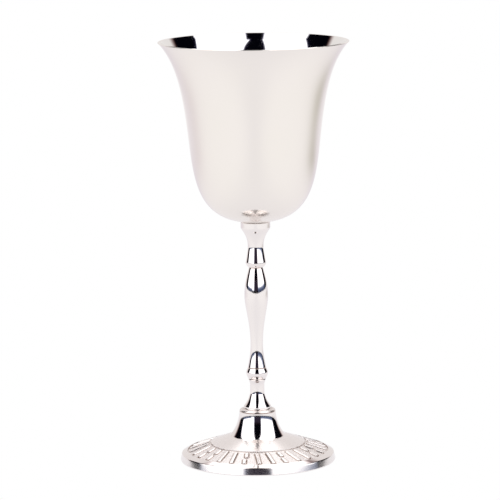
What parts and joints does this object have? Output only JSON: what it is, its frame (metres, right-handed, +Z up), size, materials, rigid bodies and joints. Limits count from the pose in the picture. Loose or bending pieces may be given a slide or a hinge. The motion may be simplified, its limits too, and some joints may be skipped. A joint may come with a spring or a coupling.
{
  "type": "kiddush cup",
  "caption": "Tall goblet: a flared tulip bowl on a slender turned baluster stem, standing on a round foot with a band of raised strokes.",
  "frame": {"origin": "centre of the foot's underside, on the table", "axes": "+Z up along the cup's axis to the middle of the lip"},
  "size_m": [0.076, 0.076, 0.1691],
  "materials": {
    "bowl_silver": "mirror-polished silver plate, inside and out",
    "stem_silver": "turned and polished silver plate",
    "foot_silver": "polished silver plate, with a stippled matt ground between the band's bright raised strokes"
  },
  "bodies": {
    "root": {"bowl": "bowl_silver", "stem": "stem_silver", "foot": "foot_silver"}
  },
  "joints": []
}
